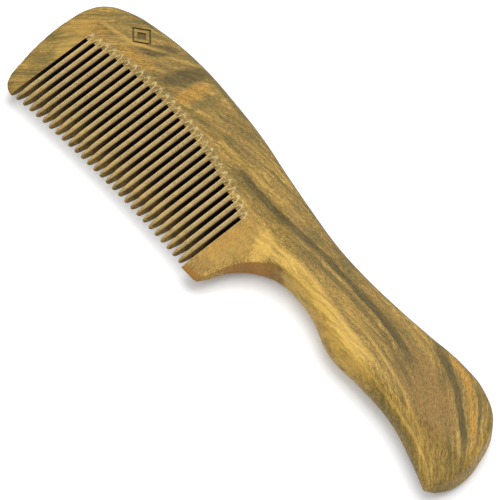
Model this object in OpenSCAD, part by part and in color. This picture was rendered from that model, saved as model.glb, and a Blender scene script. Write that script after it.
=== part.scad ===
// Wooden beard comb with a shaped handle, cut from one board.
// The board's outline is drawn as ribs that join the back edge to the front edge. Its edges are
// rounded over, the head is ground to a wedge on both faces, and saw slots leave the teeth.
// Each named region of the comb is its own solid, and they meet face to face.

/* [Overall] */
// Overall length, from the head end to the tail
comb_len = 180; // [165:1:220]
// Overall width, from the guard ends to the crown of the back edge
comb_w = 46; // [44:0.1:56]
// Thickness of the board
thick = 10; // [8:0.1:13]
// Radius of the rounded edges of the handle and the back
edge_r = 3; // [1:0.1:3.4]

/* [Teeth] */
// Number of teeth between the two guards
tooth_count = 27; // [18:1:30]
// Distance from one tooth to the next
pitch = 2.74; // [2.2:0.01:3]
// Width of the saw slots
slot_w = 1.12; // [0.7:0.01:1.4]
// Width of a tooth at its very tip
tip_w = 0.7; // [0.3:0.05:1]
// Length over which a tooth narrows to its tip
tip_taper = 5; // [3:0.1:10]
// How far the middle tooth tips stand back from the guard ends
tip_rise = 1.8; // [0.8:0.1:4]

/* [Blade] */
// Width of the flat band from the crown down to where the wedge starts
flat_w = 11.6; // [8:0.1:14]
// Height of the wood that is left above the deepest slots
spine_w = 16.6; // [13:0.1:20]
// Thickness of the wedge at the guard ends
tip_thick = 1.4; // [1:0.1:3]
// Radius of the arc that the slot ends follow
root_r = 135; // [110:1:400]
// Length of the shallow ramp where the saw left the top face
runout_len = 2; // [0.5:0.1:3.5]
// Depth of that ramp at the slot's end
runout_depth = 0.4; // [0.2:0.1:2]

/* [Guards] */
// Width of the wide end tooth at the head end
end_guard_w = 8.9; // [7:0.1:14]
// Width of the guard at the handle side, at its end
heel_guard_w = 6.6; // [5:0.1:10]

/* [Handle] */
// Height of the finger notch above the guard ends
notch_h = 17.9; // [15:0.1:20]
// Height of the bump beyond the finger notch
bump_h = 12; // [9:0.1:14]
// Height of the tail's lower corner
tail_h = 4.4; // [1:0.1:8]
// How far the neck's back edge lies below the crown
neck_drop = 11.6; // [8:0.1:13]

/* [Ornament] */
// Half width of the engraved lozenge
lozenge_r = 4.2; // [2:0.1:5]
// Depth of the engraving
engrave_d = 0.4; // [0.2:0.05:0.8]

/* [Hidden] */
head_len = end_guard_w + tooth_count * pitch + slot_w + heel_guard_w;
handle_len = comb_len - head_len;
tooth_w = pitch - slot_w;
field_end = head_len - heel_guard_w;
wedge_y = comb_w - flat_w;
wedge_slope = (thick - tip_thick) / 2 / wedge_y;
root_x = 0.4 * head_len;
root_y = comb_w - spine_w;
tip_x = (end_guard_w + field_end) / 2;
tip_r = (pow(tip_x - end_guard_w, 2) + pow(tip_rise, 2)) / (2 * tip_rise) * 1.2;
seam_gap = 0.4;
blunt_r = 0.2;
spare = 1;
span_steps = 4;
round_steps = 3;
tip_steps = 6;
wood = "#a68744";
pale_wood = "#b3954f";

function tooth_name(k) = str("tooth_", k < 10 ? "0" : "", k);

// Places along the handle, from the heel at 0 to the tail at 1
function along(f) = head_len + f * handle_len;

// Ribs from the head end to the tail: back edge point, front edge point, front edge radius
RIBS = [
    [[0, wedge_y - 7], [0, wedge_y - 10.5], edge_r],
    [[0.5, wedge_y - 0.8], [0.6, 17], edge_r],
    [[3, comb_w - 7.5], [2.3, 9.5], edge_r / 2],
    [[9, comb_w - 3.7], [4.6, 2.4], blunt_r],
    [[14.4, comb_w - 2], [6.6, 0.7], blunt_r],
    [[20, comb_w - 1.1], [end_guard_w, 0], blunt_r],
    [[root_x, comb_w], [0.4 * field_end, 0], blunt_r],
    [[0.6 * head_len, comb_w - 1.4], [0.75 * field_end, 0], blunt_r],
    [[0.75 * head_len, comb_w - 3.3], [field_end, 0], blunt_r],
    [[0.88 * head_len, comb_w - 5.8], [head_len - 1, 0], blunt_r],
    [[0.96 * head_len, comb_w - 7.4], [head_len + 0.5, 3.5], blunt_r],
    [[along(0.036), comb_w - 8.6], [along(0.023), 0.5 * notch_h], edge_r / 2],
    [[along(0.103), comb_w - 9.7], [along(0.066), 0.8 * notch_h], edge_r],
    [[along(0.182), comb_w - neck_drop + 0.8], [along(0.142), notch_h], edge_r],
    [[along(0.305), comb_w - neck_drop], [along(0.283), notch_h - 1], edge_r],
    [[along(0.44), comb_w - neck_drop], [along(0.44), bump_h + 0.3], edge_r],
    [[along(0.585), comb_w - neck_drop + 0.6], [along(0.567), bump_h + 0.2], edge_r],
    [[along(0.731), comb_w - neck_drop + 1.4], [along(0.72), bump_h - 0.8], edge_r],
    [[along(0.843), comb_w - neck_drop + 0.1], [along(0.865), tail_h + 2.9], edge_r],
    [[along(0.934), tail_h + 25.4], [along(0.953), tail_h], edge_r],
    [[along(0.986), tail_h + 16], [along(0.978), tail_h + 2.2], edge_r],
    [[comb_len, tail_h + 10.8], [comb_len, tail_h + 9.1], edge_r]
];
FRONT_CORNERS = [5, 9, 19];

function unit(v) = v / norm(v);
function is_corner(corners, i) = len([for (c = corners) if (c == i) c]) > 0;

// Direction of a smooth curve through points p at point i, pulled towards the nearer neighbour
function through(p, i) =
    let (a = p[i] - p[i - 1], b = p[i + 1] - p[i])
    unit(unit(a) * norm(b) + unit(b) * norm(a));
function dir_out(p, i, corners) =
    i == 0 || is_corner(corners, i) ? unit(p[i + 1] - p[i]) : through(p, i);
function dir_in(p, i, corners) =
    i == len(p) - 1 || is_corner(corners, i) ? unit(p[i] - p[i - 1]) : through(p, i);
function hermite(a, b, u, v, t) =
    a * (2 * t * t * t - 3 * t * t + 1) + b * (3 * t * t - 2 * t * t * t)
    + u * (t * t * t - 2 * t * t + t) + v * (t * t * t - t * t);
function curve(p, corners = []) = [
    for (i = [0:len(p) - 2])
        let (
            reach = norm(p[i + 1] - p[i]),
            u = dir_out(p, i, corners) * reach,
            v = dir_in(p, i + 1, corners) * reach
        )
        for (s = [0:span_steps - 1]) hermite(p[i], p[i + 1], u, v, s / span_steps),
    p[len(p) - 1]
];
function spread(v) = [
    for (i = [0:len(v) - 2])
        for (s = [0:span_steps - 1]) v[i] + (v[i + 1] - v[i]) * s / span_steps,
    v[len(v) - 1]
];
function reversed(v) = [for (i = [len(v) - 1:-1:0]) v[i]];

// The outline runs along the back edge to the tail and returns along the front edge
BACK = curve([for (r = RIBS) r[0]]);
FRONT = curve([for (r = RIBS) r[1]], FRONT_CORNERS);
OUTLINE = concat(BACK, reversed(FRONT));
RADII = concat([for (p = BACK) edge_r], reversed(spread([for (r = RIBS) r[2]])));

// Inward direction at outline point j, lengthened at a corner so that both edges move in evenly
function inward(j) =
    let (
        n = len(OUTLINE),
        a = unit(OUTLINE[j] - OUTLINE[(j + n - 1) % n]),
        b = unit(OUTLINE[(j + 1) % n] - OUTLINE[j]),
        m = unit(a + b)
    )
    [m[1], -m[0]] / max(0.5, m * a);

// Half thickness of the ground wedge at height y, and where the slots and teeth end
function half_at(y) = thick / 2 - wedge_slope * max(0, wedge_y - y);
function slot_x(j) = end_guard_w + slot_w / 2 + (j - 1) * pitch;
function slot_end(j) = root_y - root_r + sqrt(pow(root_r, 2) - pow(slot_x(j) - root_x, 2));
function tooth_x(k) = slot_x(k) + pitch / 2;
function tooth_root(k) = min(slot_end(k), slot_end(k + 1)) - seam_gap;
function tooth_tip(k) = tip_rise - tip_r + sqrt(pow(tip_r, 2) - pow(tooth_x(k) - tip_x, 2));

heel_seam_y = slot_end(tooth_count + 1) - seam_gap;
neck_seam_x = head_len + 9;

module placed() {
    translate([-comb_len / 2, -comb_w / 2, 0]) children();
}

// Extrudes an outline drawn in y and z along x
module along_x(x0, x1, points) {
    translate([x0, 0, 0])
        rotate([90, 0, 90])
            linear_extrude(x1 - x0) polygon(points);
}

// The board with its rounded edges, before the head is ground and sawn
module blank() {
    n = len(BACK);
    ring = len(OUTLINE);
    turns = [for (s = [0:round_steps]) 90 * s / round_steps];
    levels = concat(
        [for (a = reversed(turns)) [1 - cos(a), -sin(a), 0]],
        [for (a = turns) [1 - cos(a), sin(a), 1]]
    );
    points = [
        for (l = levels)
            for (j = [0:ring - 1])
                let (
                    p = OUTLINE[j] + inward(j) * RADII[j] * l[0],
                    flat = RADII[j] + l[2] * (thick - 2 * RADII[j])
                )
                [p[0], p[1], flat + RADII[j] * l[1]]
    ];
    top = ring * (len(levels) - 1);
    walls = [
        for (l = [0:len(levels) - 2])
            for (j = [0:ring - 1])
                let (k = (j + 1) % ring, a = l * ring, b = a + ring)
                each [[a + j, a + k, b + k], [a + j, b + k, b + j]]
    ];
    caps = [
        for (i = [0:n - 2])
            let (f = ring - 1 - i)
            each [
                [top + i, top + i + 1, top + f - 1],
                [top + i, top + f - 1, top + f],
                [i, f - 1, i + 1],
                [i, f, f - 1]
            ]
    ];
    polyhedron(points = points, faces = concat(walls, caps), convexity = 8);
}

// What is ground off one face: a wedge under the head that runs out on a ramp into the handle
module ground_off() {
    low = -spare;
    high = thick + spare;
    cut = half_at(low) + thick / 2;
    lift = (high - thick) / wedge_slope;
    ramp_top = along(0.56);
    ramp_foot = along(0.03);
    start = field_end + 1.7;
    polyhedron(
        points = [
            [low, wedge_y + lift, high], [low, low, high], [low, low, cut],
            [start, wedge_y + lift, high], [ramp_top, low, high], [ramp_foot, low, cut]
        ],
        faces = [[0, 1, 2], [3, 5, 4], [0, 3, 4, 1], [1, 4, 5, 2], [0, 2, 5, 3]]
    );
}

module ground_blank() {
    difference() {
        blank();
        ground_off();
        translate([0, 0, thick]) mirror([0, 0, 1]) ground_off();
    }
}

module region(points) {
    translate([0, 0, -spare]) linear_extrude(thick + 2 * spare) polygon(points);
}

// The ramp that the saw left in the top face at the end of one slot
module runout(j) {
    y = slot_end(j);
    foot = [y - seam_gap, thick / 2 + half_at(y) - runout_depth];
    mouth = [y + runout_len, thick / 2 + half_at(y + runout_len)];
    beyond = mouth + 0.5 * (mouth - foot);
    along_x(
        slot_x(j) - slot_w / 2,
        slot_x(j) + slot_w / 2,
        [foot, beyond, [beyond[0], thick + 2 * spare], [foot[0], thick + 2 * spare]]
    );
}

module lozenge(r, h) {
    linear_extrude(h) polygon([[r, 0], [0, r * 0.8], [-r, 0], [0, -r * 0.8]]);
}

// A plain lozenge in a lozenge frame, cut into the top face near the head end
module ornament() {
    line_w = 0.55;
    translate([19, wedge_y + 4.2, thick - engrave_d]) {
        difference() {
            lozenge(lozenge_r, spare);
            translate([0, 0, -spare]) lozenge(lozenge_r - line_w, 3 * spare);
        }
        lozenge(lozenge_r * 0.45, spare);
    }
}

// The back of the head, above the slots
module spine() {
    teeth_side = [
        for (k = [1:tooth_count])
            each [
                [slot_x(k) - slot_w / 2, slot_end(k)],
                [slot_x(k) + slot_w / 2, slot_end(k)],
                [slot_x(k) + slot_w / 2, tooth_root(k)],
                [slot_x(k + 1) - slot_w / 2, tooth_root(k)]
            ]
    ];
    last = tooth_count + 1;
    color(wood) placed() difference() {
        intersection() {
            ground_blank();
            region(concat(
                [[-spare, slot_end(1) - seam_gap], [end_guard_w, slot_end(1) - seam_gap]],
                teeth_side,
                [
                    [field_end - slot_w, slot_end(last)], [field_end, slot_end(last)],
                    [field_end, heel_seam_y], [neck_seam_x, heel_seam_y],
                    [neck_seam_x, comb_w + spare], [-spare, comb_w + spare]
                ]
            ));
        }
        for (j = [1:last]) runout(j);
        ornament();
    }
}

// The handle, from the neck to the tail
module handle() {
    color(wood) placed() intersection() {
        ground_blank();
        region([
            [neck_seam_x, -spare], [comb_len + spare, -spare],
            [comb_len + spare, comb_w + spare], [neck_seam_x, comb_w + spare]
        ]);
    }
}

// The wide end tooth at the head end
module end_guard() {
    seam_y = slot_end(1) - seam_gap;
    color(wood) placed() intersection() {
        ground_blank();
        region([[-spare, -spare], [end_guard_w, -spare], [end_guard_w, seam_y], [-spare, seam_y]]);
    }
}

// The guard at the handle side, which curves up into the finger notch
module heel_guard() {
    color(wood) placed() intersection() {
        ground_blank();
        region([
            [field_end, -spare], [neck_seam_x, -spare],
            [neck_seam_x, heel_seam_y], [field_end, heel_seam_y]
        ]);
    }
}

// One tooth: parallel sides that narrow to a rounded tip, between the two faces of the wedge
module tooth(k) {
    tip = tooth_tip(k);
    root = tooth_root(k);
    side = [
        for (s = [0:tip_steps])
            let (t = s / tip_steps, w = tip_w + (tooth_w - tip_w) * (1 - pow(1 - t, 2)))
            [w / 2, tip + t * tip_taper]
    ];
    plan = concat(
        [for (p = side) [tooth_x(k) + p[0], p[1]]],
        [[tooth_x(k) + tooth_w / 2, root], [tooth_x(k) - tooth_w / 2, root]],
        [for (p = reversed(side)) [tooth_x(k) - p[0], p[1]]]
    );
    blunt = half_at(tip) / 2;
    mid = thick / 2;
    color(pale_wood) placed() intersection() {
        linear_extrude(thick) polygon(plan);
        along_x(tooth_x(k) - pitch / 2, tooth_x(k) + pitch / 2, [
            [tip, mid - blunt], [tip + blunt, mid - half_at(tip + blunt)],
            [root, mid - half_at(root)], [root, mid + half_at(root)],
            [tip + blunt, mid + half_at(tip + blunt)], [tip, mid + blunt]
        ]);
    }
}

spine();
handle();
end_guard();
heel_guard();
for (k = [1:tooth_count]) tooth(k);
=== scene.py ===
import math

import bmesh
import bpy
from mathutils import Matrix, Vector


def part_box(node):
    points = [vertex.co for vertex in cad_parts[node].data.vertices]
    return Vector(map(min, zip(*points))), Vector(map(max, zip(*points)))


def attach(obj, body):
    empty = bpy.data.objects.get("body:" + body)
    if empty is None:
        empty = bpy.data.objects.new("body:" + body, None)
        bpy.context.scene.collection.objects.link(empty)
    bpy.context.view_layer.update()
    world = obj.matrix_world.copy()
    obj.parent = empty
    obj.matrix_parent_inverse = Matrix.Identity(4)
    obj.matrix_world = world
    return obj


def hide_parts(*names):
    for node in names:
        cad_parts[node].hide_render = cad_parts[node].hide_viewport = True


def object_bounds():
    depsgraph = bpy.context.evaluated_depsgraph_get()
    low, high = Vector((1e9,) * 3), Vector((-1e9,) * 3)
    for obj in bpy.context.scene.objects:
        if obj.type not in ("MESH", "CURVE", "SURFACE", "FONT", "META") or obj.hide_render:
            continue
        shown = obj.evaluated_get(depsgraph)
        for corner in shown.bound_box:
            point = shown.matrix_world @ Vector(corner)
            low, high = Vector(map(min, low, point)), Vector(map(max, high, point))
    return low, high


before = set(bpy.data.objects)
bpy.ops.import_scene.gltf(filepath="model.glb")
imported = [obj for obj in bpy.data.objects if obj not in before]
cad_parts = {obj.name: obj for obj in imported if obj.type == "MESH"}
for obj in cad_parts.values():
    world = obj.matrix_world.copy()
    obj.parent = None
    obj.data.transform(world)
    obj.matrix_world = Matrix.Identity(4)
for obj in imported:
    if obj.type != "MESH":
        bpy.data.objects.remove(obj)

# The comb lies flat: x runs from the head end to the tail, y from the teeth to the back edge.
# Places below are in millimetres from the comb's lower left corner, as on a workshop drawing.
mm = 0.001
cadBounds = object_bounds()
low, high = Vector(cadBounds[0]), Vector(cadBounds[1])
thick = high.z - low.z
midZ = (high.z + low.z) / 2
toothNames = sorted(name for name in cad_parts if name.startswith("tooth_"))
toothBoxes = [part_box(name) for name in toothNames]
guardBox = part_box("end_guard")
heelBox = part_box("heel_guard")
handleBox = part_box("handle")
nearby = 0.01 * mm    # places closer than this count as the same
mergeBy = 0.002 * mm  # points closer than this are merged


def place(x, y):
    return Vector((low.x + x * mm, low.y + y * mm, midZ))


def deselectAll():
    if bpy.context.mode != "OBJECT":
        bpy.ops.object.mode_set(mode="OBJECT")
    bpy.ops.object.select_all(action="DESELECT")


def makeActive(piece):
    deselectAll()
    piece.select_set(True)
    bpy.context.view_layer.objects.active = piece


def editMode(piece, kind="FACE"):
    makeActive(piece)
    bpy.ops.object.mode_set(mode="EDIT")
    bpy.ops.mesh.select_mode(type=kind)
    bpy.ops.mesh.select_all(action="DESELECT")


def objectMode():
    bpy.ops.object.mode_set(mode="OBJECT")


# Selects the vertices or edges of the piece in edit mode that the test accepts
def pick(piece, kind, test):
    shape = bmesh.from_edit_mesh(piece.data)
    for part in shape.verts if kind == "VERT" else shape.edges:
        part.select_set(bool(test(part)))
    shape.select_flush_mode()
    bmesh.update_edit_mesh(piece.data)


def applyModifier(piece, kind, **settings):
    makeActive(piece)
    modifier = piece.modifiers.new(kind.lower(), kind)
    for name, value in settings.items():
        setattr(modifier, name, value)
    bpy.ops.object.modifier_apply(modifier=modifier.name)


def carve(piece, cutter, operation="DIFFERENCE"):
    applyModifier(piece, "BOOLEAN", operation=operation, object=cutter, solver="MANIFOLD")
    bpy.data.objects.remove(cutter, do_unlink=True)


def copyOf(piece, name):
    makeActive(piece)
    bpy.ops.object.duplicate(linked=False)
    twin = bpy.context.active_object
    twin.name = name
    twin.data.name = name
    return twin


def applyPlace(piece):
    makeActive(piece)
    bpy.ops.object.transform_apply(location=True, rotation=True, scale=True)


def addBlock(name, lowCorner, highCorner):
    deselectAll()
    centre = (lowCorner + highCorner) / 2
    bpy.ops.mesh.primitive_cube_add(size=1, location=centre, scale=highCorner - lowCorner)
    block = bpy.context.active_object
    block.name = name
    applyPlace(block)
    return block


def joinAll(pieces):
    makeActive(pieces[0])
    for other in pieces[1:]:
        other.select_set(True)
    bpy.ops.object.join()
    return bpy.context.active_object


def cleanUp(piece):
    editMode(piece, "VERT")
    bpy.ops.mesh.select_all(action="SELECT")
    bpy.ops.mesh.remove_doubles(threshold=mergeBy)
    bpy.ops.mesh.normals_make_consistent(inside=False)
    objectMode()


def smoothShade(piece, degrees):
    makeActive(piece)
    bpy.ops.object.shade_smooth_by_angle(angle=math.radians(degrees))


# Splits the part of a piece inside a block off as a piece of its own
def splitOff(piece, name, lowCorner, highCorner):
    offcut = copyOf(piece, name)
    carve(offcut, addBlock("splitter", lowCorner, highCorner), "INTERSECT")
    carve(piece, addBlock("splitter", lowCorner, highCorner))
    return offcut


board = {
    "edgeRadius": 3,
    "bellyRadius": 4.9,
    "edgeSteps": 6,
    "curveSteps": 10,
    "sharpest": 35,        # degrees past which an edge is shaded sharp
    "knots": [
        # back edge from the head end to the tail
        (0, 27.4), (0.5, 33.6), (3, 38.5), (9, 42.3), (20, 44.9), (36.2, 46), (54.4, 44.6),
        (68, 42.7), (79.7, 40.2), (93.8, 37.4), (106.9, 35.2), (117.9, 34.4), (129.9, 34.4),
        (142.9, 35), (156, 35.8), (166, 34.5), (174.1, 29.8), (178.7, 20.8), (180, 14.5),
        (179.3, 9.6), (177.8, 6.3),
        # the tail's corner, then the front edge back to the finger notch
        "corner", (175.7, 4.3), (167.9, 7.3), (155, 11.2), (141.3, 12.2), (129.9, 12.3),
        (115.9, 16.9), (103.3, 17.9), (96.5, 14.3), (92.7, 8.95), (91.1, 3.5),
        # the guards' ends
        "corner", (90, 0.3), "corner", (89, -0.1), "corner", (8.9, 0), (6.6, 0.6), (4.6, 2.3),
        (2.3, 9.4), (0.9, 16.5),
    ],
    # a wider outline that meets the board only along the belly, where the edge is a full round
    "bellyKnots": [
        (-5, 50), (100, 52), (190, 44), (188, 8),
        "corner", (176.6, 3.9), (167.9, 7.3), (155, 11.2), (141.3, 12.2), (129.9, 12.3),
        (117, 16.6), (108.5, 17.2), (101, 13), "corner", (96, -8), "corner", (-10, -8),
    ],
}


# A flat curve through the knots, with its thickness and its rounded edges, made a mesh
def buildBoard(name, entries, edgeRadius):
    knots = []
    corners = []
    for entry in entries:
        if entry == "corner":
            corners.append(len(knots))
        else:
            knots.append(entry)
    deselectAll()
    bpy.ops.curve.primitive_bezier_circle_add(radius=thick)
    outline = bpy.context.active_object
    outline.name = name
    outline.location = (0, 0, midZ)
    line = outline.data.splines[0]
    line.bezier_points.add(len(knots) - len(line.bezier_points))
    for i, (point, knot) in enumerate(zip(line.bezier_points, knots)):
        point.handle_left_type = point.handle_right_type = "VECTOR" if i in corners else "AUTO"
        point.co = (place(*knot).x, place(*knot).y, 0)
    line.use_cyclic_u = True
    line.resolution_u = board["curveSteps"]
    outline.data.dimensions = "2D"
    outline.data.fill_mode = "BOTH"
    outline.data.bevel_depth = edgeRadius * mm
    outline.data.bevel_resolution = board["edgeSteps"]
    outline.data.offset = -edgeRadius * mm
    outline.data.extrude = thick / 2 - edgeRadius * mm
    makeActive(outline)
    bpy.ops.object.convert(target="MESH")
    plank = bpy.context.active_object
    applyPlace(plank)
    cleanUp(plank)
    return plank


wedge = {
    "creaseY": 34.4,       # where the flat back turns into the wedge
    "tipThick": 1.4,       # thickness at the guards' ends
    "apex": (85.7, 34.4),  # where the ramp into the handle starts
    "rampTop": 139,        # the ramp's upper and lower edge where it would reach y = 0
    "rampFoot": 92.9,
    "noseY": 2.2,          # the guards' ends are rounded off below this
    "noseHalf": 0.35,
    "cutterFrom": (-5, -5),
    "cutterTo": (150, 60),
}
wedge["slope"] = (thick / mm - wedge["tipThick"]) / 2 / wedge["creaseY"]


def halfThick(y):
    return (thick / mm / 2 - wedge["slope"] * max(0, wedge["creaseY"] - y)) * mm


# A block over one face of the head, cut to the wedge's plane and to the ramp's plane
def wedgeCutter(side):
    top = Vector((0, 0, side * thick / 2))
    name = "wedgeTop" if side > 0 else "wedgeUnder"
    reach = Vector((0, 0, thick))
    cutter = addBlock(name, place(*wedge["cutterFrom"]) - reach, place(*wedge["cutterTo"]) + reach)
    crease = place(0, wedge["creaseY"]) + top
    wedgeNormal = Vector((0, -wedge["slope"], side)).normalized()
    head = place(*wedge["apex"]) + top
    foot = place(wedge["rampFoot"], 0) + Vector((0, 0, side * halfThick(0)))
    ridge = place(wedge["rampTop"], 0) + top
    rampNormal = (foot - head).cross(ridge - head).normalized()
    if rampNormal.x < 0:
        rampNormal = -rampNormal
    editMode(cutter)
    bpy.ops.mesh.select_all(action="SELECT")
    bpy.ops.mesh.bisect(plane_co=crease, plane_no=wedgeNormal, use_fill=True, clear_inner=True)
    bpy.ops.mesh.select_all(action="SELECT")
    bpy.ops.mesh.bisect(plane_co=head, plane_no=rampNormal, use_fill=True, clear_outer=True)
    objectMode()
    cleanUp(cutter)
    return cutter


# Takes the corner off the blade's lower edge, on both faces
def roundNose(plank):
    editMode(plank)
    for side in (1, -1):
        bpy.ops.mesh.select_all(action="SELECT")
        top = place(0, wedge["noseY"]) + Vector((0, 0, side * halfThick(wedge["noseY"])))
        rise = (halfThick(wedge["noseY"]) / mm - wedge["noseHalf"]) / wedge["noseY"]
        bpy.ops.mesh.bisect(plane_co=top, plane_no=Vector((0, -rise, side)), use_fill=True,
                            clear_outer=True)
    objectMode()


finish = {"voxel": 0.36, "smoothing": 0.5, "rounds": 3}


# An even skin of small faces, smoothed a little, as sanding leaves it
def sand(plank):
    applyModifier(plank, "REMESH", mode="VOXEL", voxel_size=finish["voxel"] * mm, adaptivity=0)
    applyModifier(plank, "SMOOTH", factor=finish["smoothing"], iterations=finish["rounds"])


saw = {
    "rootRadius": 135,     # the slots end on this arc
    "rootTop": (36.24, 29.4),
    "seamGap": 0.4,        # the teeth meet the spine this far below the slots' ends
    "runout": 2.0,         # the shallow ramp past a slot's end, and its depth
    "runoutDepth": 0.4,
    "roomFrom": -5,        # the room for the teeth is cut from here, past the guards' ends
    "guardMargin": 0.1,    # the guards are split off this far past their boxes, in the open slot
}
slotEdges = [guardBox[1].x] + [edge for box in toothBoxes for edge in (box[0].x, box[1].x)]
slotEdges.append(heelBox[0].x)
slots = [(slotEdges[i], slotEdges[i + 1]) for i in range(0, len(slotEdges), 2)]
pitch = (slots[1][0] - slots[0][0]) / mm
slotShare = (slots[0][1] - slots[0][0]) / mm / pitch
fieldFrom = (slots[0][0] - low.x) / mm
fieldTo = (slots[-1][1] - low.x) / mm


def slotEnd(x):
    away = (x - low.x) / mm - saw["rootTop"][0]
    return place(0, saw["rootTop"][1] - saw["rootRadius"]
                 + math.sqrt(saw["rootRadius"] ** 2 - away ** 2)).y


# The room that the teeth and slots take, as a stepped outline drawn point by point
def toothRoom():
    front = place(0, saw["roomFrom"]).y
    steps = [(slots[0][0], front)]
    for i, (left, right) in enumerate(slots):
        end = slotEnd((left + right) / 2)
        steps += [(left, end), (right, end)]
        if i < len(toothBoxes):
            root = toothBoxes[i][1].y
            steps += [(right, root), (slots[i + 1][0], root)]
    steps.append((slots[-1][1], front))
    bottom = low.z - thick
    deselectAll()
    bpy.ops.mesh.primitive_plane_add(size=mm)
    room = bpy.context.active_object
    room.name = "toothRoom"
    editMode(room, "VERT")
    bpy.ops.mesh.select_all(action="SELECT")
    bpy.ops.mesh.merge(type="CENTER")
    here = Vector((0, 0, 0))
    for i, (x, y) in enumerate(steps):
        there = Vector((x, y, bottom))
        if i == 0:
            bpy.ops.transform.translate(value=there - here)
        else:
            bpy.ops.mesh.extrude_vertices_move(TRANSFORM_OT_translate={"value": there - here})
        here = there
    bpy.ops.mesh.select_all(action="SELECT")
    bpy.ops.mesh.edge_face_add()
    bpy.ops.mesh.extrude_region_move(TRANSFORM_OT_translate={"value": (0, 0, 3 * thick)})
    objectMode()
    cleanUp(room)
    return room


# One block for a run-out, copied to every slot and cut there so that its floor ramps up along y
def runoutCutters():
    length = saw["runout"] * mm
    left, right = slots[0]
    start = slotEnd((left + right) / 2)
    blank = addBlock("runoutBlank", Vector((left, start - 2 * saw["seamGap"] * mm, 0)),
                     Vector((right, start + 2 * length, high.z + thick)))
    cutters = []
    for slotLeft, slotRight in slots:
        end = slotEnd((slotLeft + slotRight) / 2)
        floorZ = midZ + halfThick((end - low.y) / mm) - saw["runoutDepth"] * mm
        mouthZ = midZ + halfThick((end - low.y) / mm + saw["runout"])
        cutter = copyOf(blank, "runout")
        editMode(cutter)
        bpy.ops.mesh.select_all(action="SELECT")
        bpy.ops.transform.translate(value=(slotLeft - left, end - start, 0))
        bpy.ops.mesh.bisect(plane_co=(slotLeft, end, floorZ),
                            plane_no=Vector((0, floorZ - mouthZ, length)).normalized(),
                            use_fill=True, clear_inner=True)
        objectMode()
        cutters.append(cutter)
    bpy.data.objects.remove(blank, do_unlink=True)
    allCutters = joinAll(cutters)
    cleanUp(allCutters)
    return allCutters


mark = {
    "centre": (19, 38.6),
    "radius": 4.2,
    "inner": 0.45,         # the middle lozenge's share of the radius
    "height": 0.8,
    "line": 0.55,
    "depth": 0.4,
    "cutterHeight": 2,
    "stain": 0.85,
    "stainFade": 0.6,
    "stainTop": (-0.25, -0.08),        # measured from the board's top face
    "stainFoot": (-2, -1),
}


# A flattened lozenge as a cutter, either whole or only its outline
def lozenge(name, radius, onlyOutline):
    deselectAll()
    bpy.ops.mesh.primitive_circle_add(vertices=4, radius=radius * mm, fill_type="NGON")
    shape = bpy.context.active_object
    shape.name = name
    editMode(shape)
    bpy.ops.mesh.select_all(action="SELECT")
    bpy.ops.transform.resize(value=(1, mark["height"], 1))
    if onlyOutline:
        bpy.ops.mesh.inset(thickness=mark["line"] * mm)
        bpy.ops.mesh.delete(type="FACE")
        bpy.ops.mesh.select_all(action="SELECT")
    bpy.ops.mesh.extrude_region_move(
        TRANSFORM_OT_translate={"value": (0, 0, mark["cutterHeight"] * mm)})
    bpy.ops.mesh.select_all(action="SELECT")
    centre = place(*mark["centre"])
    bpy.ops.transform.translate(value=(centre.x, centre.y, high.z - mark["depth"] * mm))
    objectMode()
    cleanUp(shape)
    return shape


tooth = {
    "tipWidth": 0.55,
    "taper": 7,            # the plan narrows over this length, in steps
    "taperSteps": 6,
    "noseLength": 0.7,     # the tip is rounded off over this length, to this half thickness
    "noseHalf": 0.3,
    "softEdge": 0.12,
    "edgeAngle": 0.4,      # radians past which an edge is softened
    "sharpest": 20,        # degrees past which an edge is shaded sharp
    "spare": 2,            # length left on the blank, cut off at the root
}


# One full-thickness tooth with its pointed plan, standing at the first tooth's place
def toothBlank():
    firstLow, firstHigh = toothBoxes[0]
    width = firstHigh.x - firstLow.x
    longest = max(box[1].y - box[0].y for box in toothBoxes) + tooth["spare"] * mm
    blank = addBlock("toothBlank", Vector((firstLow.x, firstLow.y, low.z)),
                     Vector((firstHigh.x, firstLow.y + longest, high.z)))
    centre = Vector(((firstLow.x + firstHigh.x) / 2, 0, midZ))
    levels = [step / tooth["taperSteps"] for step in range(tooth["taperSteps"])]
    editMode(blank, "VERT")
    for level in levels[1:]:
        y = firstLow.y + level * level * tooth["taper"] * mm
        bpy.ops.mesh.select_all(action="SELECT")
        bpy.ops.mesh.bisect(plane_co=(0, y, 0), plane_no=(0, 1, 0))
    tip = tooth["tipWidth"] * mm
    for level in levels:
        y = firstLow.y + level * level * tooth["taper"] * mm
        narrow = tip + (width - tip) * (1 - (1 - level * level) ** 2)
        pick(blank, "VERT", lambda v: abs(v.co.y - y) < nearby)
        bpy.ops.transform.resize(value=(narrow / width, 1, 1), center_override=centre)
    objectMode()
    return blank


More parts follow.
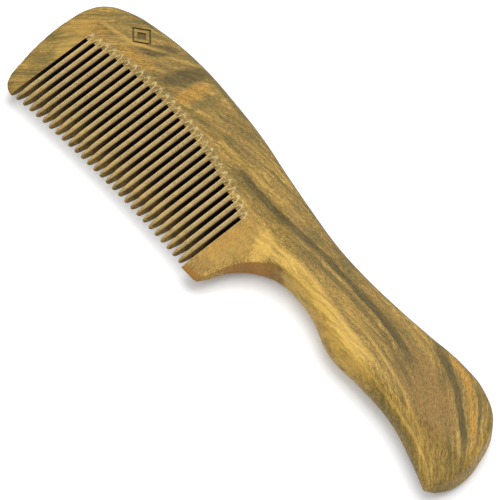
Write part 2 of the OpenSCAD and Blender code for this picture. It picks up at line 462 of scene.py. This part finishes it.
# Grinds a tooth to the wedge on both faces, rounds its tip and cuts its root to length
def grindTooth(piece, tip, root):
    editMode(piece)
    for side in (1, -1):
        crease = place(0, wedge["creaseY"]) + Vector((0, 0, side * thick / 2))
        bpy.ops.mesh.select_all(action="SELECT")
        bpy.ops.mesh.bisect(plane_co=crease, plane_no=Vector((0, -wedge["slope"], side)),
                            use_fill=True, clear_outer=True)
        noseY = tip + tooth["noseLength"] * mm
        noseTop = halfThick((noseY - low.y) / mm)
        nose = Vector((0, noseY, midZ + side * noseTop))
        rise = (noseTop - tooth["noseHalf"] * mm) / (tooth["noseLength"] * mm)
        bpy.ops.mesh.select_all(action="SELECT")
        bpy.ops.mesh.bisect(plane_co=nose, plane_no=Vector((0, -rise, side)), use_fill=True,
                            clear_outer=True)
    bpy.ops.mesh.select_all(action="SELECT")
    bpy.ops.mesh.bisect(plane_co=(0, root, 0), plane_no=(0, 1, 0), use_fill=True, clear_outer=True)
    bpy.ops.mesh.select_all(action="DESELECT")
    bpy.ops.mesh.select_mode(type="EDGE")
    pick(piece, "EDGE", lambda e: len(e.link_faces) == 2 and e.calc_face_angle() > tooth["edgeAngle"]
         and not all(abs(v.co.y - root) < nearby for v in e.verts))
    bpy.ops.mesh.bevel(offset=tooth["softEdge"] * mm, segments=2, clamp_overlap=True)
    objectMode()
    cleanUp(piece)


# Wraps a node socket, so that shader maths reads as plain expressions
class Sock:
    def __init__(self, graph, link):
        self.graph = graph
        self.link = link

    def math(self, operation, other=None):
        values = [self.link]
        if other is not None:
            values.append(other)
        return self.graph.node("ShaderNodeMath", {"operation": operation}, values)

    def __add__(self, other):
        return self.math("ADD", other)

    def __mul__(self, other):
        return self.math("MULTIPLY", other)

    def __sub__(self, other):
        return self.math("SUBTRACT", other)

    def __rsub__(self, other):
        return self * -1 + other

    def __pow__(self, other):
        return self.math("POWER", other)

    __radd__ = __add__
    __rmul__ = __mul__

    def above(self, other):
        return self.math("MAXIMUM", other)

    def below(self, other):
        return self.math("MINIMUM", other)

    def size(self):
        return self.math("ABSOLUTE")

    # One value at or before start, the other at or past end, with a soft turn at both
    def ramp(self, start, end, before=0.0, after=1.0):
        values = [self.link, start, end, before, after]
        return self.graph.node("ShaderNodeMapRange", {"interpolation_type": "SMOOTHSTEP"}, values)

    # 1 from start to end, fading to 0 outside them
    def within(self, start, end, fade):
        return self.ramp(start - fade, start) * (1 - self.ramp(end, end + fade))


class Graph:
    def __init__(self, name):
        self.material = bpy.data.materials.new(name)
        self.material.use_nodes = True
        self.tree = self.material.node_tree
        self.tree.nodes.clear()

    # Adds a node: its settings first, then the values or links of its sockets
    def node(self, kind, settings=None, inputs=None, output=0):
        made = self.tree.nodes.new(kind)
        for name, value in (settings or {}).items():
            if name == "stops":
                self.setStops(made.color_ramp, value)
            elif name == "points":
                self.setPoints(made.mapping, value)
            else:
                setattr(made, name, value)
        pairs = inputs.items() if isinstance(inputs, dict) else enumerate(inputs or [])
        for key, value in pairs:
            value = value.link if isinstance(value, Sock) else value
            if isinstance(value, bpy.types.NodeSocket):
                self.tree.links.new(value, made.inputs[key])
            else:
                made.inputs[key].default_value = value
        return Sock(self, made.outputs[output]) if made.outputs else None

    def setStops(self, ramp, stops):
        while len(ramp.elements) > 1:
            ramp.elements.remove(ramp.elements[-1])
        ramp.elements[0].position = stops[0][0]
        ramp.elements[0].color = (*stops[0][1], 1)
        for position, colour in stops[1:]:
            ramp.elements.new(position).color = (*colour, 1)

    def setPoints(self, mapping, points):
        line = mapping.curves[0]
        while len(line.points) < len(points):
            line.points.new(0.5, 0.5)
        for spot, location in zip(line.points, points):
            spot.location = location
        mapping.update()

    def mix(self, amount, first, second, blend="MIX"):
        colours = [colour if isinstance(colour, Sock) else (*colour, 1) for colour in (first, second)]
        return self.node("ShaderNodeMix", {"data_type": "RGBA", "blend_type": blend},
                         {0: amount, 6: colours[0], 7: colours[1]}, output=2)

    # Noise with so many waves per millimetre along, across and through the board
    def noise(self, spot, waves, shift=(0, 0, 0), detail=3.0, rough=0.5, warp=0.0):
        stretched = self.node("ShaderNodeVectorMath", {"operation": "MULTIPLY_ADD"},
                              [spot, waves, shift])
        return self.node("ShaderNodeTexNoise", {"noise_dimensions": "3D"}, {
            "Vector": stretched, "Scale": 1.0, "Detail": detail, "Roughness": rough,
            "Distortion": warp})

    def vector(self, x, y, z):
        return self.node("ShaderNodeCombineXYZ", None, [x, y, z])


# A screen colour as the lit wood shows it, turned into the wood's own reflectance
def paint(red, green, blue, lit=1.3, sheen=0.02, least=0.002):
    shown = [((c / 255 + 0.055) / 1.055) ** 2.4 for c in (red, green, blue)]  # the screen's curve
    return tuple(max(least, (c - sheen) / lit) for c in shown)


wood = {
    "dark": paint(90, 77, 39),
    "olive": paint(116, 101, 52),
    "brown": paint(137, 110, 55),
    "mid": paint(158, 129, 65),
    "gold": paint(196, 158, 78),
    # painted highlight: the gold that stands in for light on the belly's rounding and on the heel's
    # facet
    "sun": paint(216, 176, 88),
    "orange": paint(184, 137, 58),
    "red": paint(143, 111, 60),
    "pale": paint(186, 161, 108),
    # pale chips past the slots' ends, and the painted highlight on the teeth's left edges
    "chip": paint(222, 200, 146),
    # burn and painted shade: the dark of the slots and of the teeth's right edges
    "burnt": paint(52, 26, 12),
    "heel": paint(182, 144, 74),
    # painted light: the warm brown given to the front-facing walls and the heel's end for the light on
    # them
    "wall": paint(154, 107, 50),
    "gloss": 0.3,
    "roughness": (0.3, 0.75, 0.6, 0.46),  # falls as the fibres get paler
    "fibreHeight": 0.6,
    "poreDepth": 0.8,
    "bumpStrength": 0.3,
    "bumpDepth": 0.1,
}

# The grain's noises, and its bends: in the tail and in the head it curves towards the front edge
grain = {
    "sway": {"waves": (0.035, 0.08, 0.04), "detail": 2},
    "swayBy": 5,
    "ripple": {"waves": (0.17, 0.24, 0.1), "detail": 2},
    "rippleBy": 2,
    "tailFrom": 132,
    "tailBend": 0.0115,
    "headFrom": 64,
    "headBend": 0.0095,
    "broad": {"waves": (0.03, 0.22, 0.1), "shift": (7, 0, 0), "detail": 2, "warp": 0.4},
    "broadShare": 0.45,
    "streak": {"waves": (0.1, 1.0, 0.4), "shift": (3, 0, 0), "rough": 0.55, "warp": 0.6},
    "fibre": {"waves": (0.9, 3.2, 1.2), "shift": (0, 40, 0), "rough": 0.9},
    "crossFibre": {"waves": (2.8, 0.8, 1), "rough": 0.9},
    "crossLean": 0.3214,
    "pore": {"waves": (1.8, 4.2, 2), "detail": 2, "rough": 0.7},
    "fibreContrast": (0.28, 0.7, -0.66, 0.6),
    "pores": (0.54, 0.68),
    "poreStrength": 0.6,
    "goldenCalm": 0.65,                # golden wood and the painted gold highlights have this much less fibre and pore
}

# The heel's slope: below a leaning line across the board, and between two places along it
heelSlope = {"lean": 0.3, "line": (45, 52), "from": (82, 84), "to": (95, 102), "tint": 0.6}

figure = {
    "tones": [(0.3, "dark"), (0.4, "olive"), (0.47, "brown"), (0.55, "mid"), (0.68, "gold")],
    "breakUp": (0.3, 0.62, 0.5, 1.2),  # how the grain's streaks thin out the larger figure
    "wander": {"waves": (0.12, 0.3, 0.05)},
    # how far the noise and the grain push the edges of patches and of streaks
    "patchWander": 3,
    "patchGrain": 2.5,
    "streakWander": 1.05,
    "streakGrain": 1.6,
    "patchFade": (0.15, 1.2),
    "streakFade": (0.4, 1.1),          # across a streak, in half widths
    "streakStart": (-1, 8),            # along it, from its first point and from its last one
    "streakEnd": (-8, 2),
    # streaks of colour along the grain, and painted light on the belly's rounding: a path in
    # millimetres, half width, colour, strength
    "streaks": [
        ([(68, 30.8), (80, 29.4), (92, 29), (110, 29.2), (128, 28.6), (138, 27.4), (150, 25)],
         1.25, "dark", 1.0),
        ([(98, 27), (110, 26.6), (124, 26.2), (136, 25), (146, 22.5), (156, 19)], 0.75, "dark", 0.6),
        ([(56, 33.5), (70, 32.3), (84, 32.4), (100, 32)], 0.6, "gold", 0.45),
        # painted highlight: the bright band where the belly's rounding faces the light
        ([(88, 22), (96, 20.8), (110, 20.6), (120, 19.2), (132, 17.2), (144, 16)], 2.8, "sun", 0.85),
        # painted highlight along the rounding of the tail's front edge
        ([(130, 16), (145, 14.4), (155, 13), (166, 10.6), (177, 5)], 0.5, "sun", 0.45),
        # painted shade where the front edge's rounding turns under
        ([(144, 12.8), (150, 12.4), (158, 11), (172, 7)], 0.8, "olive", 0.5),
        # painted highlight: the lower part of the bright band on the belly's rounding
        ([(106, 18.6), (118, 16), (128, 14.2), (136, 13.4), (146, 13.2)], 2.2, "gold", 0.7),
        ([(120, 22.6), (132, 22), (146, 19.5), (158, 15.5), (168, 12)], 0.6, "gold", 0.5),
        ([(145, 33.5), (155, 31.3), (160, 29.2), (165, 26), (170, 22.6), (175, 19), (179.5, 12)],
         1.4, "dark", 0.95),
        ([(150, 34.4), (158, 33.4), (164, 30.8), (170, 26.4), (175, 22), (179, 17)],
         1.4, "orange", 0.9),
        ([(159, 34.6), (166, 31.8), (171, 28), (176, 22.4), (179.6, 16)], 0.9, "dark", 0.7),
        ([(3, 31.5), (10, 33.6), (18, 35), (26, 39), (31, 42)], 0.8, "gold", 0.6),
        ([(6, 37), (12, 38), (20, 41.5), (30, 44)], 0.7, "olive", 0.5),
        ([(34, 42.6), (42, 44.1), (52, 43.4), (64, 41.5)], 1.2, "dark", 0.55),
    ],
    # patches: middle, angle to the length, half length, half width, colour, strength
    "patches": [
        ((26, 38.8), 52, 7.5, 2.6, "dark", 0.95),
        ((38, 38.8), 60, 8.5, 3.3, "dark", 0.9),
        ((43.6, 36.6), 80, 6.5, 2.8, "orange", 0.75),
        ((48.8, 38.5), 75, 6.5, 1.8, "olive", 0.65),
        ((8, 29), 20, 6, 3.5, "orange", 0.45),
        ((10, 22), 60, 7, 4, "gold", 0.5),
        ((5, 26), 75, 6.5, 3.6, "gold", 0.37),
        ((24, 33), 15, 7, 2.2, "orange", 0.5),
        ((6.2, 14), 90, 5, 2.2, "olive", 0.5),
        ((61, 37), 10, 5, 2.2, "red", 0.4),
        ((88, 13), 80, 11, 5, "gold", 0.25),
        ((86.3, 14), 85, 10, 2.6, "orange", 0.4),
        # painted highlight on the heel's sloping facet
        ((95, 18.6), -52, 6.5, 3, "sun", 0.85),
        ((87, 4), 0, 3, 3.4, "red", 0.5),
        ((157, 22), -24, 18, 6.5, "red", 0.75),
        ((112, 24), -3, 17, 2.6, "brown", 0.4),
        # painted highlight on the belly's rounding by the finger notch
        ((111, 17.4), -8, 8, 2, "gold", 0.65),
    ],
}


# The middle of a streak runs through its path's points, and its edges waver with the grain
def streakMask(graph, x, y, path, halfWidth):
    size = (high - low) / mm
    points = [(px / size.x, py / size.y) for px, py in path]
    middle = graph.node("ShaderNodeFloatCurve", {"points": points}, {"Value": x * (1 / size.x)})
    fadeFrom, fadeTo = figure["streakFade"]
    across = 1 - (y - middle * size.y).size().ramp(fadeFrom * halfWidth, fadeTo * halfWidth)
    firstX, lastX = path[0][0], path[-1][0]
    start = x.ramp(firstX + figure["streakStart"][0], firstX + figure["streakStart"][1])
    end = 1 - x.ramp(lastX + figure["streakEnd"][0], lastX + figure["streakEnd"][1])
    return across * start * end


def patchMask(graph, x, y, middle, angle, halfLength, halfWidth):
    turn = math.radians(angle)
    along = (x - middle[0]) * math.cos(turn) + (y - middle[1]) * math.sin(turn)
    across = (y - middle[1]) * math.cos(turn) - (x - middle[0]) * math.sin(turn)
    reach = (along * (1 / halfLength)) ** 2 + (across * (1 / halfWidth)) ** 2
    return 1 - reach.ramp(*figure["patchFade"])


# The board's colour, its fibres and its pores
def grainColour(graph, x, y, z):
    spot = graph.vector(x, y, z)
    sway = graph.noise(spot, **grain["sway"]) - 0.5
    ripple = graph.noise(spot, **grain["ripple"]) - 0.5
    tailBend = (x - grain["tailFrom"]).above(0) ** 2 * grain["tailBend"]
    headBend = (grain["headFrom"] - x).above(0) ** 2 * grain["headBend"]
    v = y + tailBend + headBend + sway * grain["swayBy"] + ripple * grain["rippleBy"]
    bent = graph.vector(x, v, z)
    broad = graph.noise(bent, **grain["broad"])
    streak = graph.noise(bent, **grain["streak"])

    # on the heel's slope the board is cut across, so its fibres run towards the guard's end
    heel = 1 - (y + x * heelSlope["lean"]).ramp(*heelSlope["line"])
    heel = heel * x.ramp(*heelSlope["from"]) * (1 - x.ramp(*heelSlope["to"]))
    crossFibre = graph.noise(graph.vector(x + y * grain["crossLean"], y, z), **grain["crossFibre"])
    fibre = graph.noise(bent, **grain["fibre"]) * (1 - heel) + crossFibre * heel

    tone = broad * grain["broadShare"] + streak * (1 - grain["broadShare"])
    stops = [(level, wood[name]) for level, name in figure["tones"]]
    colour = graph.node("ShaderNodeValToRGB", {"stops": stops}, [tone])
    colour = graph.mix(heel * heelSlope["tint"], colour, wood["heel"])

    # the larger figure and the painted light on the belly and the heel, their edges pushed about and
    # broken up by the grain
    breakUp = streak.ramp(*figure["breakUp"])
    wander = graph.noise(spot, **figure["wander"]) - 0.5
    patchY = y + wander * figure["patchWander"] + (streak - 0.5) * figure["patchGrain"]
    streakY = y + wander * figure["streakWander"] + (streak - 0.5) * figure["streakGrain"]
    areas = [(patchMask(graph, x, patchY, *sizes), name, strength)
             for *sizes, name, strength in figure["patches"]]
    areas += [(streakMask(graph, x, streakY, path, halfWidth), name, strength)
              for path, halfWidth, name, strength in figure["streaks"]]
    golden = 0
    for mask, name, strength in areas:
        colour = graph.mix((mask * breakUp * strength).below(1), colour, wood[name])
        if name in ("sun", "gold"):
            golden = mask + golden

    calm = 1 - golden.below(1) * grain["goldenCalm"]
    shade = fibre.ramp(*grain["fibreContrast"]) * calm + 1
    colour = graph.mix(1.0, colour, graph.vector(shade, shade, shade), "MULTIPLY")
    pores = graph.noise(bent, **grain["pore"]).ramp(*grain["pores"]) * calm * grain["poreStrength"]
    return graph.mix(pores, colour, wood["dark"]), fibre, pores


# Marks of the saw, and the painted highlight and shade on the teeth. Pairs are where a mark fades
# in or out: in millimetres, in shares of the pitch or in levels of its noise.
sawMarks = {
    "chipping": {"waves": (2.6, 1.6, 0), "rough": 0.7},
    "fieldFade": 0.15,
    "chipReach": 0.6,                  # the chips pass the outer slots by this much
    "chipFade": 0.4,
    "archNarrow": 3.4,
    "archShort": 0.44,
    "archUneven": 1.1,
    "archInside": (0.35, 0.75),
    "archOutside": (0.85, 1.4),
    "archStart": (-0.2, 0.2),
    "chipped": (0.38, 0.56),
    "chipStrength": 0.9,
    "fuzzStart": (-0.3, 0.3),
    "fuzzEnd": (1.5, 4),
    "fuzzPale": (0.5, 0.64),
    "fuzzPaleStrength": 0.3,
    "fuzzDark": (0.38, 0.52),
    "fuzzDarkStrength": 0.6,
    "speck": {"waves": (2.2, 2.6, 1), "detail": 2, "rough": 0.9},
    "speckContrast": (0.4, 0.58, 0.15, 0.95),
    "paleEdge": (0.05, 0.16),          # the painted highlight, past the tooth's left edge
    "shadeSide": (0.68, 0.86),
    # painted shade with burn on the tooth's right edge
    "burntSide": (0.84, 0.94),
    "burntStrength": 0.85,
    "sideStrength": 0.6,
    "tipShade": (0.5, 4),
    "tipStrength": 0.5,
    "levelFace": (0.5, 0.9),           # how level a face is, from a wall to the top
    "levelTooth": (0.6, 0.9),
    "toothEnd": (-1, 0.5),
}


# How far a place lies past the arc that the slots end on
def pastSlots(x, y):
    arc = saw["rootRadius"] ** 2 - (x - saw["rootTop"][0]) ** 2
    return y - (arc ** 0.5 + (saw["rootTop"][1] - saw["rootRadius"]))


# Pale chipped arches past the slots' ends, in wood that the saw has fuzzed
def chippedColour(graph, x, y, past, level, colour):
    chipping = graph.noise(graph.vector(x, y, 0.0), **sawMarks["chipping"])
    reach = sawMarks["chipReach"]
    nearField = x.within(fieldFrom - reach, fieldTo + reach, sawMarks["chipFade"])
    across = ((x - fieldFrom) * (1 / pitch) + 0.5 - slotShare / 2).math("FRACT") - 0.5
    rise = past * sawMarks["archShort"] + (chipping - 0.5) * sawMarks["archUneven"]
    ring = (across * sawMarks["archNarrow"]) ** 2 + rise ** 2
    arch = ring.ramp(*sawMarks["archInside"]) * (1 - ring.ramp(*sawMarks["archOutside"]))
    arch = arch * past.ramp(*sawMarks["archStart"])
    onTop = nearField * level.ramp(*sawMarks["levelFace"])
    fuzz = onTop * past.ramp(*sawMarks["fuzzStart"]) * (1 - past.ramp(*sawMarks["fuzzEnd"]))
    pale = fuzz * chipping.ramp(*sawMarks["fuzzPale"]) * sawMarks["fuzzPaleStrength"]
    colour = graph.mix(pale, colour, wood["chip"])
    dark = fuzz * (1 - chipping.ramp(*sawMarks["fuzzDark"])) * sawMarks["fuzzDarkStrength"]
    colour = graph.mix(dark, colour, wood["brown"])
    chips = arch * chipping.ramp(*sawMarks["chipped"]) * onTop * sawMarks["chipStrength"]
    return graph.mix(chips, colour, wood["chip"])


# A tooth is dusty and pale, with a painted highlight along its left edge, painted shade with burn on
# its right side and painted shade on its tip
def toothColour(graph, x, y, z, past, level, inField, colour):
    onTooth = inField * (1 - past.ramp(*sawMarks["toothEnd"])) * level.ramp(*sawMarks["levelTooth"])
    along = ((x - fieldFrom) * (1 / pitch)).math("FRACT")
    speck = graph.noise(graph.vector(x, y, z), **sawMarks["speck"])
    colour = graph.mix(onTooth * speck.ramp(*sawMarks["speckContrast"]), colour, wood["pale"])
    # painted highlight along the tooth's left edge
    edgeFrom, edgeTo = sawMarks["paleEdge"]
    leftEdge = 1 - along.ramp(slotShare + edgeFrom, slotShare + edgeTo)
    colour = graph.mix(onTooth * leftEdge * sawMarks["sideStrength"], colour, wood["chip"])
    shadeSide = along.ramp(*sawMarks["shadeSide"])
    colour = graph.mix(onTooth * shadeSide * sawMarks["sideStrength"], colour, wood["brown"])
    # painted shade with burn along the tooth's right edge
    burntSide = along.ramp(*sawMarks["burntSide"])
    colour = graph.mix(onTooth * burntSide * sawMarks["burntStrength"], colour, wood["burnt"])
    tip = 1 - y.ramp(*sawMarks["tipShade"])
    return graph.mix(onTooth * tip * sawMarks["tipStrength"], colour, wood["brown"])


walls = {
    "wallToTop": (0.35, 0.85),         # how level a face is, from a wall to the top
    "slotToTop": (0.35, 0.75),
    "frontToBack": (-0.5, 0),          # which way a wall faces along y
    "notchEnd": (99, 106),             # the painted warm brown of the front walls runs from the guards' ends to here
    "notchRise": (3, 12, 0.4, 0.8),
    "heelFrom": 0.3,                   # past the last slot
    "heelEnd": (1, 2),
    "heelStrength": 0.8,
    # painted shade on the back edge's rounding
    "backRim": (0.25, 0.85),
    "backStrength": 0.6,
    "slotEnd": (0.1, 0.5),
    "burntRise": (2, 13, 0.25, 1),     # the slots' painted shade is lighter near the tips, where light reaches in
}


# Painted light and shade: the front-facing walls get a warm brown set for the light on them, the back
# rim gets painted shade, and the slots are painted dark with burn and shade
def wallColour(graph, x, y, past, level, sideways, inField, colour):
    steep = 1 - level.ramp(*walls["wallToTop"])
    # painted light: the front-facing walls and the heel's end get a warm brown set for the light on
    # them
    front = steep * (1 - sideways.ramp(*walls["frontToBack"])) * (1 - x.ramp(*walls["notchEnd"]))
    front = front * y.ramp(*walls["notchRise"])
    heelEnd = x.ramp(fieldTo, fieldTo + walls["heelFrom"]) * (1 - y.ramp(*walls["heelEnd"]))
    colour = graph.mix(front.above(heelEnd * walls["heelStrength"]), colour, wood["wall"])
    # painted shade on the back edge's rounding
    backRim = sideways.ramp(*walls["backRim"]) * walls["backStrength"]
    colour = graph.mix(backRim, colour, wood["dark"])
    # painted shade with burn: the slots between the teeth are darkened, less near the tips
    inSlots = inField * (1 - past.ramp(*walls["slotEnd"])) * (1 - level.ramp(*walls["slotToTop"]))
    return graph.mix(inSlots * y.ramp(*walls["burntRise"]), colour, wood["burnt"])


# The engraving's sunken floor and walls are painted darker
def markColour(graph, x, y, z, colour):
    markX, markY = mark["centre"]
    away = (x - markX).size().above((y - markY).size())
    inMark = 1 - away.ramp(mark["radius"], mark["radius"] + mark["stainFade"])
    rise = z - high.z / mm
    sunk = rise.ramp(*mark["stainFoot"]) * (1 - rise.ramp(*mark["stainTop"]))
    return graph.mix(inMark * sunk * mark["stain"], colour, wood["dark"])


def woodMaterial():
    graph = Graph("oiledGreenSandalwood")
    coords = graph.node("ShaderNodeTexCoord", output=3)
    normal = graph.node("ShaderNodeTexCoord", output=1)
    split = [graph.node("ShaderNodeSeparateXYZ", None, [coords], output=i) for i in range(3)]
    x = (split[0] - low.x) * (1 / mm)
    y = (split[1] - low.y) * (1 / mm)
    z = split[2] * (1 / mm)
    level = graph.node("ShaderNodeSeparateXYZ", None, [normal], output=2).size()
    sideways = graph.node("ShaderNodeSeparateXYZ", None, [normal], output=1)
    past = pastSlots(x, y)
    inField = x.within(fieldFrom, fieldTo, sawMarks["fieldFade"])

    colour, fibre, pores = grainColour(graph, x, y, z)
    colour = chippedColour(graph, x, y, past, level, colour)
    colour = toothColour(graph, x, y, z, past, level, inField, colour)
    colour = wallColour(graph, x, y, past, level, sideways, inField, colour)
    colour = markColour(graph, x, y, z, colour)

    height = fibre * wood["fibreHeight"] - pores * wood["poreDepth"]
    bump = graph.node("ShaderNodeBump", None, {
        "Strength": wood["bumpStrength"], "Distance": wood["bumpDepth"] * mm, "Height": height})
    skin = graph.node("ShaderNodeBsdfPrincipled", None, {
        "Base Color": colour, "Roughness": fibre.ramp(*wood["roughness"]), "Normal": bump,
        "Specular IOR Level": wood["gloss"]})
    graph.node("ShaderNodeOutputMaterial", None, [skin])
    return graph.material


# The whole board, ground, sanded, sawn and engraved
def shapeBoard():
    plank = buildBoard("plank", board["knots"], board["edgeRadius"])
    carve(plank, buildBoard("belly", board["bellyKnots"], board["bellyRadius"]), "INTERSECT")
    print("board", len(plank.data.vertices))
    for side in (1, -1):
        carve(plank, wedgeCutter(side))
    roundNose(plank)
    cleanUp(plank)
    print("ground", len(plank.data.vertices))
    sand(plank)
    print("sanded", len(plank.data.polygons))
    carve(plank, toothRoom())
    carve(plank, runoutCutters())
    carve(plank, lozenge("markRing", mark["radius"], True))
    carve(plank, lozenge("markCentre", mark["radius"] * mark["inner"], False))
    print("sawn and engraved", len(plank.data.polygons))
    return plank


# The board as handle, guards and spine; the guards' sides towards the teeth lie in open slots
def divideBoard(plank):
    bottom = low - Vector((thick, thick, thick))
    top = high + Vector((thick, thick, thick))
    margin = saw["guardMargin"] * mm
    handle = splitOff(plank, "woodHandle", Vector((handleBox[0].x, bottom.y, bottom.z)), top)
    endGuard = splitOff(plank, "woodEndGuard", bottom,
                        Vector((guardBox[1].x + margin, guardBox[1].y, top.z)))
    heelGuard = splitOff(plank, "woodHeelGuard", Vector((heelBox[0].x - margin, bottom.y, bottom.z)),
                         Vector((top.x, heelBox[1].y, top.z)))
    plank.name = plank.data.name = "woodSpine"
    pieces = [(plank, "spine"), (handle, "handle"), (endGuard, "end_guard"), (heelGuard, "heel_guard")]
    for piece, _ in pieces:
        cleanUp(piece)
        smoothShade(piece, board["sharpest"])
    print("split")
    return pieces


def buildTeeth():
    blank = toothBlank()
    firstLow, firstHigh = toothBoxes[0]
    pieces = []
    for name, (boxLow, boxHigh) in zip(toothNames, toothBoxes):
        piece = copyOf(blank, "wood" + name.title().replace("_", ""))
        shiftX = (boxLow.x + boxHigh.x) / 2 - (firstLow.x + firstHigh.x) / 2
        editMode(piece)
        bpy.ops.mesh.select_all(action="SELECT")
        bpy.ops.transform.translate(value=(shiftX, boxLow.y - firstLow.y, 0))
        grindTooth(piece, boxLow.y, boxHigh.y)
        smoothShade(piece, tooth["sharpest"])
        pieces.append((piece, name))
    bpy.data.objects.remove(blank, do_unlink=True)
    print("teeth", len(toothNames))
    return pieces


studio = {
    "target": (92.75, 16.4),     # what the camera looks at, in the comb's millimetres
    "targetHeight": 7.7,
    "azimuth": 50.07,
    "elevation": 55.86,
    "distance": 790,
    "lens": 213,
    "sensor": 36,
    "clipFrom": 0.01,
    "floorSize": 6,
    "floorColour": (0.9, 0.9, 0.9),
    "sky": (0.93, 0.96, 1.0),
    "skyPower": 0.74,
    # name, place in metres, size, power, colour
    "lamps": [
        ("keyLamp", (-0.15, 0.65, 1.2), 1.6, 24, (1.0, 0.98, 0.95)),
        ("fillLamp", (0.3, -0.9, 1.0), 1.2, 5, (1.0, 1.0, 1.0)),
    ],
}


def buildLamp(name, spot, size, power, colour, target):
    bpy.ops.object.light_add(type="AREA", location=spot)
    lamp = bpy.context.active_object
    lamp.name = name
    lamp.rotation_euler = (Vector(spot) - target).to_track_quat("Z", "Y").to_euler()
    lamp.data.size = size
    lamp.data.energy = power
    lamp.data.color = colour


def buildStudio():
    azimuth = math.radians(studio["azimuth"])
    elevation = math.radians(studio["elevation"])
    target = place(*studio["target"])
    target.z = studio["targetHeight"] * mm
    back = Vector((math.sin(azimuth) * math.cos(elevation), -math.cos(azimuth) * math.cos(elevation),
                   math.sin(elevation)))
    deselectAll()
    bpy.ops.object.camera_add(location=target + back * studio["distance"] * mm)
    camera = bpy.context.active_object
    camera.rotation_euler = back.to_track_quat("Z", "Y").to_euler()
    camera.data.lens = studio["lens"]
    camera.data.sensor_width = studio["sensor"]
    camera.data.clip_start = studio["clipFrom"]
    bpy.context.scene.camera = camera

    bpy.ops.mesh.primitive_plane_add(size=studio["floorSize"], location=(0, 0, low.z))
    floor = bpy.context.active_object
    floor.name = "studioFloor"
    graph = Graph("paleFloor")
    skin = graph.node("ShaderNodeBsdfPrincipled", None, {
        "Base Color": (*studio["floorColour"], 1), "Roughness": 0.9})
    graph.node("ShaderNodeOutputMaterial", None, [skin])
    floor.data.materials.append(graph.material)

    for lamp in studio["lamps"]:
        buildLamp(*lamp, target)
    world = bpy.data.worlds.new("studioWorld")
    world.use_nodes = True
    sky = world.node_tree.nodes["Background"]
    sky.inputs["Color"].default_value = (*studio["sky"], 1)
    sky.inputs["Strength"].default_value = studio["skyPower"]
    bpy.context.scene.world = world
    bpy.context.scene.view_settings.view_transform = "Standard"


woodSkin = woodMaterial()
for piece, node in divideBoard(shapeBoard()) + buildTeeth():
    piece.data.materials.clear()
    piece.data.materials.append(woodSkin)
    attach(piece, "root")
    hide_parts(node)
buildStudio()
print("studio")
